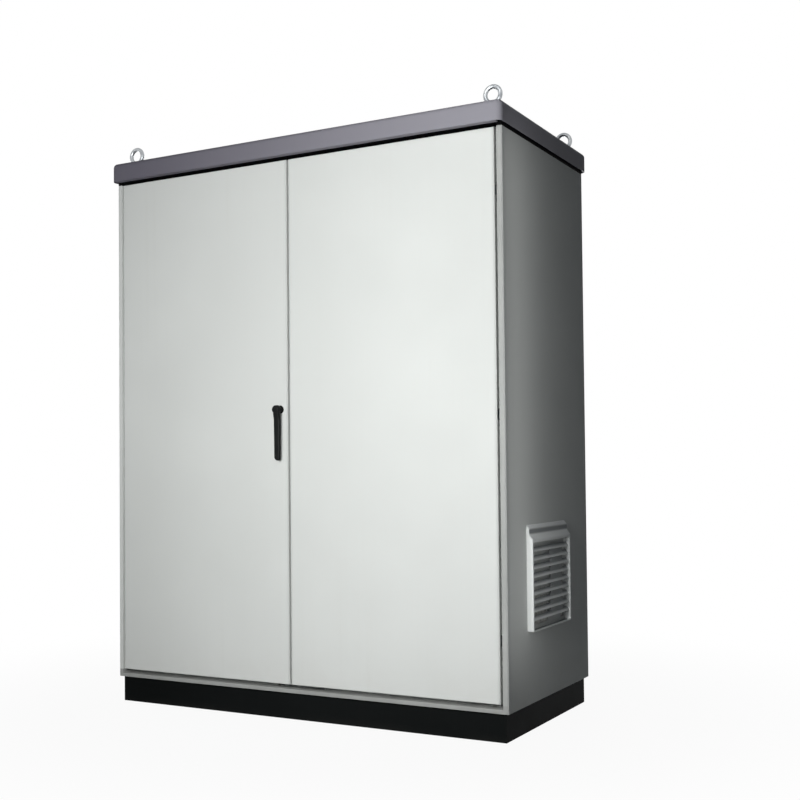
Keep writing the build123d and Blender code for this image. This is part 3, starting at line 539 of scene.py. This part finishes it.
def lever_bar():
    """Half width 9.25 mm easing to 8.25 mm, and at the tip by (1 - u^2.6)^(1 / 2.6) to nothing.

    The back is flat and 10.5 mm off the door, but 1.5 mm further off at the tip. The front lies
    9.5 mm before it, 3 mm less at the tip, and rises by 4.4 mm to the head in a smooth step.
    Near the tip each point drops by a share of its x, which slants the end.
    """
    length, tip_length, roundness, squareness = 125.0, 8.25, 2.6, 0.62
    back, thickness, swell = 10.5, 9.5, 4.4
    along_tip = 8.2 * np.sin(np.linspace(0.0, 1.54, 22)[1:])
    down = np.concatenate([np.linspace(0.0, length, 64), length + along_tip])
    tip = np.clip((down - length) / tip_length, 0.0, 1.0)
    close = (1.0 - tip ** roundness) ** (1 / roundness)
    half_width = (9.25 - down / length).clip(8.25) * close
    rise = np.clip((28.0 - down) / 20.0, 0.0, 1.0)
    thick = thickness - 3.0 * (1.0 - close) + swell * rise ** 2 * (3.0 - 2.0 * rise)
    across = soft(np.cos(angle), squareness) * half_width[:, None]
    forwards = 0.5 + 0.5 * soft(np.sin(angle), squareness)
    depth = -back - thick[:, None] * forwards - 1.5 * (1.0 - close)[:, None]
    slant = np.clip((down - 112.0) / 20.0, 0.0, 1.0)[:, None] * across * 0.30
    return capped(np.stack([across, depth, -down[:, None] - slant], axis=-1) * mm + pivot)


bar_skin = lever_bar()
print("bar:", len(bar_skin[0]), "points, down to", round(bar_skin[0][:, 2].min(), 4))


# %% Head and collar
def turned(profile):
    """A profile of (how far before the door, radius), turned about the spindle."""
    before, radius = np.array(profile).T[:, :, None]
    ring = [radius * np.cos(angle), -before + 0.0 * angle, radius * np.sin(angle)]
    return capped(np.stack(ring, axis=-1) * mm + pivot)


def lever_head():
    """A neck in the door, a hub, and a head that swells to its radius and has a ring groove."""
    neck = [(-4.0, 6.4), (-3.6, 7.0), (2.6, 7.0), (3.3, 7.6), (4.2, 8.0), (7.6, 8.2), (9.0, 8.8)]
    side = [(10.2, 10.0), (11.6, 11.0), (13.4, 11.4), (20.0, head_radius), (22.4, 11.1),
            (24.0, 10.2), (25.0, 8.9), (25.4, 8.0)]
    groove = [(25.3, 7.7), (24.8, 7.5), (24.8, 7.1), (25.3, 6.9), (25.5, 6.5), (25.5, 0.6)]
    return turned(neck + side + groove)


def rosette():
    """A collar that falls from 3.2 mm at the neck to its thin edge as a quarter of an ellipse."""
    fall = np.linspace(0.0, np.pi / 2, 12)
    curve = np.stack([0.3 + 2.9 * np.sin(fall), 7.4 + 3.6 * np.cos(fall)], axis=-1)
    return turned(np.concatenate([[(0.0, 0.5), (0.0, 10.9)], curve, [(3.2, 0.5)]]))


make("lever_casting", [bar_skin, lever_head()], "lever", "lever_black", "lever_handle")
make("lever_collar", [rosette()], "left_door", "lever_black", "lock_rosette")


# %% [markdown]
# ## Foamed gaskets
# The seal of such a door is not a strip that is glued on. A nozzle lays liquid foam on the
# inside of the door, and it rises to a soft bead with its own skin. A bevelled curve would be
# too even. So the bead is a dome carried round a rectangle with rounded corners, its height
# breathes a little, and where its end meets its start there is a small hump.
# %% Loop
def rounded_loop(first, last, radius, step):
    """Round a rectangle with four quarter arcs, walked by length in even steps.

    It gives the points, their outward directions, and their share of the way round.
    """
    quarter = np.linspace(0.0, np.pi / 2, 9)
    turn = (quarter + np.pi / 2 * np.arange(4)[:, None]).ravel()
    (x0, z0), (x1, z1) = first, last
    corners = np.array([(x1, z1), (x0, z1), (x0, z0), (x1, z0)])
    arc_middles = corners - radius * np.sign(corners - (corners[0] + corners[2]) / 2)
    arcs = radius * np.stack([np.cos(turn), np.sin(turn)], axis=-1)
    path = np.repeat(arc_middles, 9, axis=0) + arcs
    path = np.concatenate([path, path[:1]])
    turn = np.append(turn, 2 * np.pi)
    length = np.concatenate([[0.0], np.cumsum(np.linalg.norm(np.diff(path, axis=0), axis=1))])
    even = np.arange(0.0, length[-1], step)
    marks = np.unique(np.round(np.concatenate([length, even]), 5))
    marks = marks[marks < length[-1] - 1e-4]
    out = np.interp(marks, length, turn)
    place = np.stack([np.interp(marks, length, column) for column in path.T], axis=-1)
    return place, np.stack([np.cos(out), np.sin(out)], axis=-1), marks / length[-1]


print("a loop of 100 x 50 has", len(rounded_loop((0, 0), (100, 50), 6.0, 6.0)[0]), "points")


# %% Gaskets
def bead(first, last, foot):
    """Across = 5.75 mm times the cosine, height = 9.3 mm times the sine to the 0.7, flat below.

    Both drift by a sum of three waves that close, the height by up to 0.24 mm and the width by
    up to 0.18 mm, and both have a hump at one place, which is a narrow bell curve.
    """
    place, out, share = rounded_loop(first, last, 6.0, 6.0)
    around = np.linspace(0.0, 2 * np.pi, 20, endpoint=False)
    turns = 2 * np.pi * share
    drift = np.sin(23 * turns) + np.sin(41 * turns + 1.0) + np.sin(67 * turns + 2.0)
    hump = np.exp(-((share - 0.62) / 0.0022) ** 2)
    height = 9.3 + 0.08 * drift + 0.15 * hump
    wide = 5.75 + 0.06 * drift + 0.25 * hump
    lift = np.clip(np.sin(around), 0.0, 1.0) ** 0.7 * height[:, None]
    across = np.cos(around) * wide[:, None]
    flat = place[:, None] + out[:, None] * across[:, :, None]
    return skin(np.stack([flat[:, :, 0], lift + foot, flat[:, :, 1]], axis=-1) * mm)


half_gasket = 6.0
for door in ("left_door", "right_door"):
    low, high = measured(f"{door}_gasket")
    loop = bead(low[[0, 2]] + half_gasket, high[[0, 2]] - half_gasket, low[1])
    side = door.removesuffix("_door")
    foam_bead = make(f"{side}_foamed_seal", [loop], door, "gasket_rubber", f"{door}_gasket")


# %% [markdown]
# ## Vent moulding
# The hood over the vent is moulded in one piece, so it has drawn edges and soft corners where
# sheet steel would have folds. Its rings are all the same rounded outline, fitted to a new
# rectangle at each distance from the wall. The top is drawn down in two slopes with a step
# between them, which throws the rain off. The distances are counted from the inner face of the
# side sheet, so the first 2 mm, and with them the thin flange, lie within the sheet.
# %% Fitted rings
def level_at(out, low, high, aside=0.0, below=0.0, above=0.0):
    """A rectangle so far out from the inner face, drawn in on all sides: x, y0, y1, z0, z1."""
    return sheet_inside + out, low[0] + aside, high[0] - aside, low[1] + below, high[1] - above


def fitted(outline, levels):
    """The outline as a share of its own rectangle, laid into each level's rectangle."""
    share = (outline - outline.min(0)) / (outline.max(0) - outline.min(0))
    levels = np.array(levels)
    low, high = levels[:, None, [1, 3]], levels[:, None, [2, 4]]
    flat = low + share * (high - low)
    out = np.broadcast_to(levels[:, None, :1], flat[:, :, :1].shape)
    return np.concatenate([out, flat], axis=-1) * mm


print("level 0 of the flange:", list(map(float, level_at(0.0, flange_low, flange_high))))


# %% Hood and flange
def hood_frame():
    """(Out, inset, drop of the top): out over two slopes, round the lip, and back inside."""
    outline, _, _ = rounded_loop(hood_low, hood_high, 5.0, 8.0)
    slopes = [(0.2, 0.0, 0.0), (1.2, 0.0, 0.4), (8.4, 0.1, 9.0), (9.0, 0.2, 11.0),
              (9.3, 0.2, 24.0), (10.0, 0.2, 26.0), (16.8, 0.3, 34.5), (17.7, 0.7, 35.8)]
    lip = [(18.2, 1.6, 37.0), (18.3, 2.6, 38.0), (18.2, 5.8, 38.0), (17.6, 6.9, 38.0),
           (16.4, 7.3, 38.0), (0.2, 7.6, 38.0)]
    levels = [level_at(out, hood_low, hood_high, inset, 0.35 * inset, drop + inset)
              for out, inset, drop in slopes + lip]
    return skin(fitted(outline, levels))


def flange():
    """A thin sheet round the hood: a long slope from its outer edge, and down again at the hood."""
    outline, _, _ = rounded_loop(flange_low, flange_high, 6.0, 12.0)
    slope = [level_at(out, flange_low, flange_high, inset, inset, inset)
             for out, inset in ((0.05, 0.0), (0.2, 0.2), (1.0, 6.0))]
    inner = [level_at(out, hood_low, hood_high, 4.0, 4.0, 7.0) for out in (1.3, 0.05)]
    return skin(fitted(outline, slope + inner))


vent_skins = [flange(), hood_frame()]
print("points of the flange and the hood:", [len(points) for points, _ in vent_skins])


# %% Blades and their stay
def blade(level):
    """A thin slat that slants down and outwards, with a half round tip, carried along the wall."""
    half_thick, tip_radius, end_gap = 0.8, 0.9, 6.5
    over, ahead = np.array([0.807, 0.59]), np.array([0.59, -0.807])
    inner = np.array([sheet_inside + 6.6, level + 5.4])
    outer = np.array([sheet_inside + 14.4, level - 4.6])
    bend = np.linspace(0.0, np.pi, 9)[:, None]
    tip = outer + tip_radius * (np.cos(bend) * over + np.sin(bend) * ahead)
    outline = np.concatenate([[inner + half_thick * over], tip, [inner - half_thick * over]])
    ends = (hood_low[0] + end_gap, hood_high[0] - end_gap)
    return capped(np.stack([np.insert(outline, 1, end, axis=1) for end in ends]) * mm)


def stay():
    """The upright that carries the blades from behind: a slab with softened edges."""
    low, high = hood_low + (140.5, 24.0), hood_high - (40.5, 58.0)
    outline, _, _ = rounded_loop(low, high, 2.0, 12.0)
    steps = ((6.0, 1.0, 1.0), (6.6, 0.0, 0.0), (9.0, 0.0, 0.0), (9.6, 0.9, 1.0))
    levels = [level_at(out, low, high, aside, ends, ends) for out, aside, ends in steps]
    return capped(fitted(outline, levels))


first_blade, pitch, blade_count = hood_high[1] - 63.0, 21.2, 9
blades = [blade(level) for level in first_blade - pitch * np.arange(blade_count)]
vent_skins += [stay()] + blades
make("vent_moulding", vent_skins, "cabinet", "vent_grey", "vent_hood")


# %% [markdown]
# ## Filter mat
# Behind the louvres lies a mat of fleece that keeps dust out. It is cut from a thick roll, so
# its edge is pinched thin and its faces are soft and lumpy. It lies in a frame and has no folds,
# so a cloth simulation would show nothing more. Rings of one rounded outline grow from the
# middle of one face to the edge and shrink again on the other, and the thickness falls off near
# the edge.
# %% Fleece mat
def fleece_mat():
    """Half thickness times (1 - f^7)^0.4, f being the ring's size, less up to 16 % for lumps.

    The lumps are the mean of 14 sine waves that run in random directions over the face.
    """
    low, high = measured("filter_mat")
    outline, _, _ = rounded_loop(low[1:], high[1:], 6.0, 5.0)
    middle, half_thick = (low + high) / 2, (high[0] - low[0]) / 2
    size = np.append(np.linspace(0.04, 0.985, 26), 1.0)
    both = np.concatenate([size, size[-2::-1]])
    sign = np.concatenate([-np.ones(26), [0.0], np.ones(26)])[:, None]
    flat = middle[1:] + (outline - middle[1:]) * both[:, None, None]
    rng = np.random.default_rng(7)
    slopes = rng.normal(0.0, 0.16, (14, 2))
    lumps = np.sin(flat @ slopes.T + rng.uniform(0.0, 6.28, 14)).mean(-1) * 0.5 + 0.5
    half = half_thick * (1.0 - both ** 7)[:, None].clip(0.0) ** 0.4 * (1.0 - 0.16 * lumps)
    return capped(np.stack([middle[0] + sign * half, flat[:, :, 0], flat[:, :, 1]], axis=-1) * mm)


mat = make("fleece_mat", [fleece_mat()], "cabinet", "filter_fleece", "filter_mat")

# %% [markdown]
# ## The floor
# A product picture has a white sweep that ends nowhere. It could be got with more light, but
# that would bleach the cabinet too. So the floor is lit as plain paper for the light that
# bounces off it, and only for what the lens or a mirror sees is it mostly self-lit white. It
# goes over into the white world and still keeps a breath of shadow.
# %% Floor
half_floor = 30.0
corners = [(-half_floor, -half_floor, 0), (half_floor, -half_floor, 0),
           (half_floor, half_floor, 0), (-half_floor, half_floor, 0)]
floor_mesh = bpy.data.meshes.new("floor")
floor_mesh.from_pydata(corners, [], [(0, 1, 2, 3)])
floor = bpy.data.objects.new("floor", floor_mesh)
bpy.context.scene.collection.objects.link(floor)
print("floor:", half_floor * 2, "m wide")

# %% Paper
paper = Finish("paper", specular=0.1)
grain = paper.noise(60.0)
greys = paper.blend(grain, tone(134, 134, 134), tone(142, 142, 142))
paper.finish_with(greys, 0.9, paper.bump(grain, 0.0002))
white = paper.node("Emission", {"Color": (1, 1, 1, 1), "Strength": 1.0})
away = paper.node("VectorMath", [paper.place], "Value", operation="LENGTH")
white_share = paper.seen() * paper.ease(away, 0.6, 1.8, 0.94, 1.0)
lit = Signal(paper, paper.shader.outputs[0])
sweep = paper.node("MixShader", {0: white_share, 1: lit, 2: white})
paper.join(sweep, paper.tree.nodes["Material Output"].inputs["Surface"])
floor_mesh.materials.append(paper.material)
print("paper:", len(paper.tree.nodes), "nodes")

# %% [markdown]
# ## The room
# A photographer hangs black cloth beside a pale object, so that one side falls into shade and
# the edges read. An even world can't do that. This one is dim, and a smooth step of its
# direction makes it all but black on the cabinet's right. What the lens sees of it is white.
# %% World
world = bpy.data.worlds.new("studio")
bpy.context.scene.world = world
world.use_nodes = True
sky = Wiring(world.node_tree)
sky.tree.nodes.remove(sky.tree.nodes["Background"])
dark_side = Vector((0.95, 0.35, -0.05)).normalized()
direction = sky.node("TexCoord", output="Generated")
facing = sky.node("VectorMath", (direction, dark_side), "Value", operation="DOT_PRODUCT")
shade = sky.blend(sky.ease(facing, -0.8, 0.35), (0.12, 0.12, 0.13, 1), (0.002, 0.007, 0.013, 1))
room = sky.node("Background", {"Color": shade, "Strength": 1.0})
backdrop = sky.node("Background", {"Color": (1, 1, 1, 1), "Strength": 1.0})
either = sky.node("MixShader", {0: sky.seen(), 1: room, 2: backdrop})
sky.join(either, sky.tree.nodes["World Output"].inputs["Surface"])
print("world:", len(sky.tree.nodes), "nodes")


# %% [markdown]
# ## The lamps
# One large soft lamp before the doors does most of the work, and a weak one opens the shade on
# the left. A narrow strip at the front of the right wall makes the light on it fall off to the
# rear, and a small one picks out the roof's corner. Two more light the sides that the picture
# doesn't show, so that the cabinet looks right from behind as well.
# %% Lamps
def lamp(name, spot, aim, width, height, watts, spread=180.0):
    """A soft rectangular lamp at a spot, facing an aim, whose light may be kept to a narrow fan."""
    light = bpy.data.lights.new(name, "AREA")
    light.shape = "RECTANGLE"
    light.size = width
    light.size_y = height
    light.energy = watts
    light.spread = np.radians(spread)
    made = bpy.data.objects.new(name, light)
    made.location = spot
    made.rotation_mode = "QUATERNION"
    made.rotation_quaternion = (Vector(aim) - Vector(spot)).to_track_quat("-Z", "Y")
    made.visible_camera = False
    bpy.context.scene.collection.objects.link(made)


lamp("key", (0.48, -1.90, 0.95), (0.18, -0.28, 0.85), 0.8, 0.8, 34.5)
lamp("fill", (-1.20, -2.60, 1.00), (-0.20, -0.28, 0.80), 1.5, 1.5, 1.0)
lamp("edge", (0.76, -0.29, 0.84), (0.12, 0.48, 0.84), 0.04, 1.3, 0.36, 140.0)
lamp("brow", (0.65, -0.80, 1.85), (0.60, -0.28, 1.50), 0.4, 0.15, 0.45, 120.0)
lamp("rear", (-0.30, 2.30, 1.10), (-0.10, 0.28, 0.80), 1.2, 1.2, 40.0)
lamp("left", (-2.40, 0.55, 1.10), (-0.60, 0.10, 0.80), 1.0, 1.0, 24.0)

# %% [markdown]
# ## The camera
# The picture was taken from the right of the cabinet, with the lens low and almost level, so
# the upright edges stay nearly upright. A camera that looks level but shows the object above
# its middle is a shifted one. Its angles, place and lens were fitted to the cabinet's corners.
# %% Where the camera looks
turn, tilt, roll = np.radians([28.522, 1.624, -0.566])
forward = np.array([-np.sin(turn) * np.cos(tilt), np.cos(turn) * np.cos(tilt), np.sin(tilt)])
right = np.array([np.cos(turn), np.sin(turn), 0.0])
up = np.cross(right, forward)
tilted_right = np.cos(roll) * right + np.sin(roll) * up
tilted_up = -np.sin(roll) * right + np.cos(roll) * up
pose = Matrix((tilted_right, tilted_up, -forward)).transposed().to_4x4()
pose.translation = Vector((1.7033, -2.8327, 0.6616))
print("camera at", [round(v, 3) for v in pose.translation])

# %% Camera
picture_width = 800
focal_pixels = 1168.06
raised_pixels = 31.78
lens = bpy.data.cameras.new("camera")
lens.sensor_width = 36.0
lens.lens = lens.sensor_width * focal_pixels / picture_width
lens.shift_y = raised_pixels / picture_width
lens.clip_end = 100.0
camera = bpy.data.objects.new("camera", lens)
camera.matrix_world = pose
bpy.context.scene.collection.objects.link(camera)
bpy.context.scene.camera = camera
bpy.context.scene.view_settings.view_transform = "Standard"
print("lens:", round(lens.lens, 2), "mm")
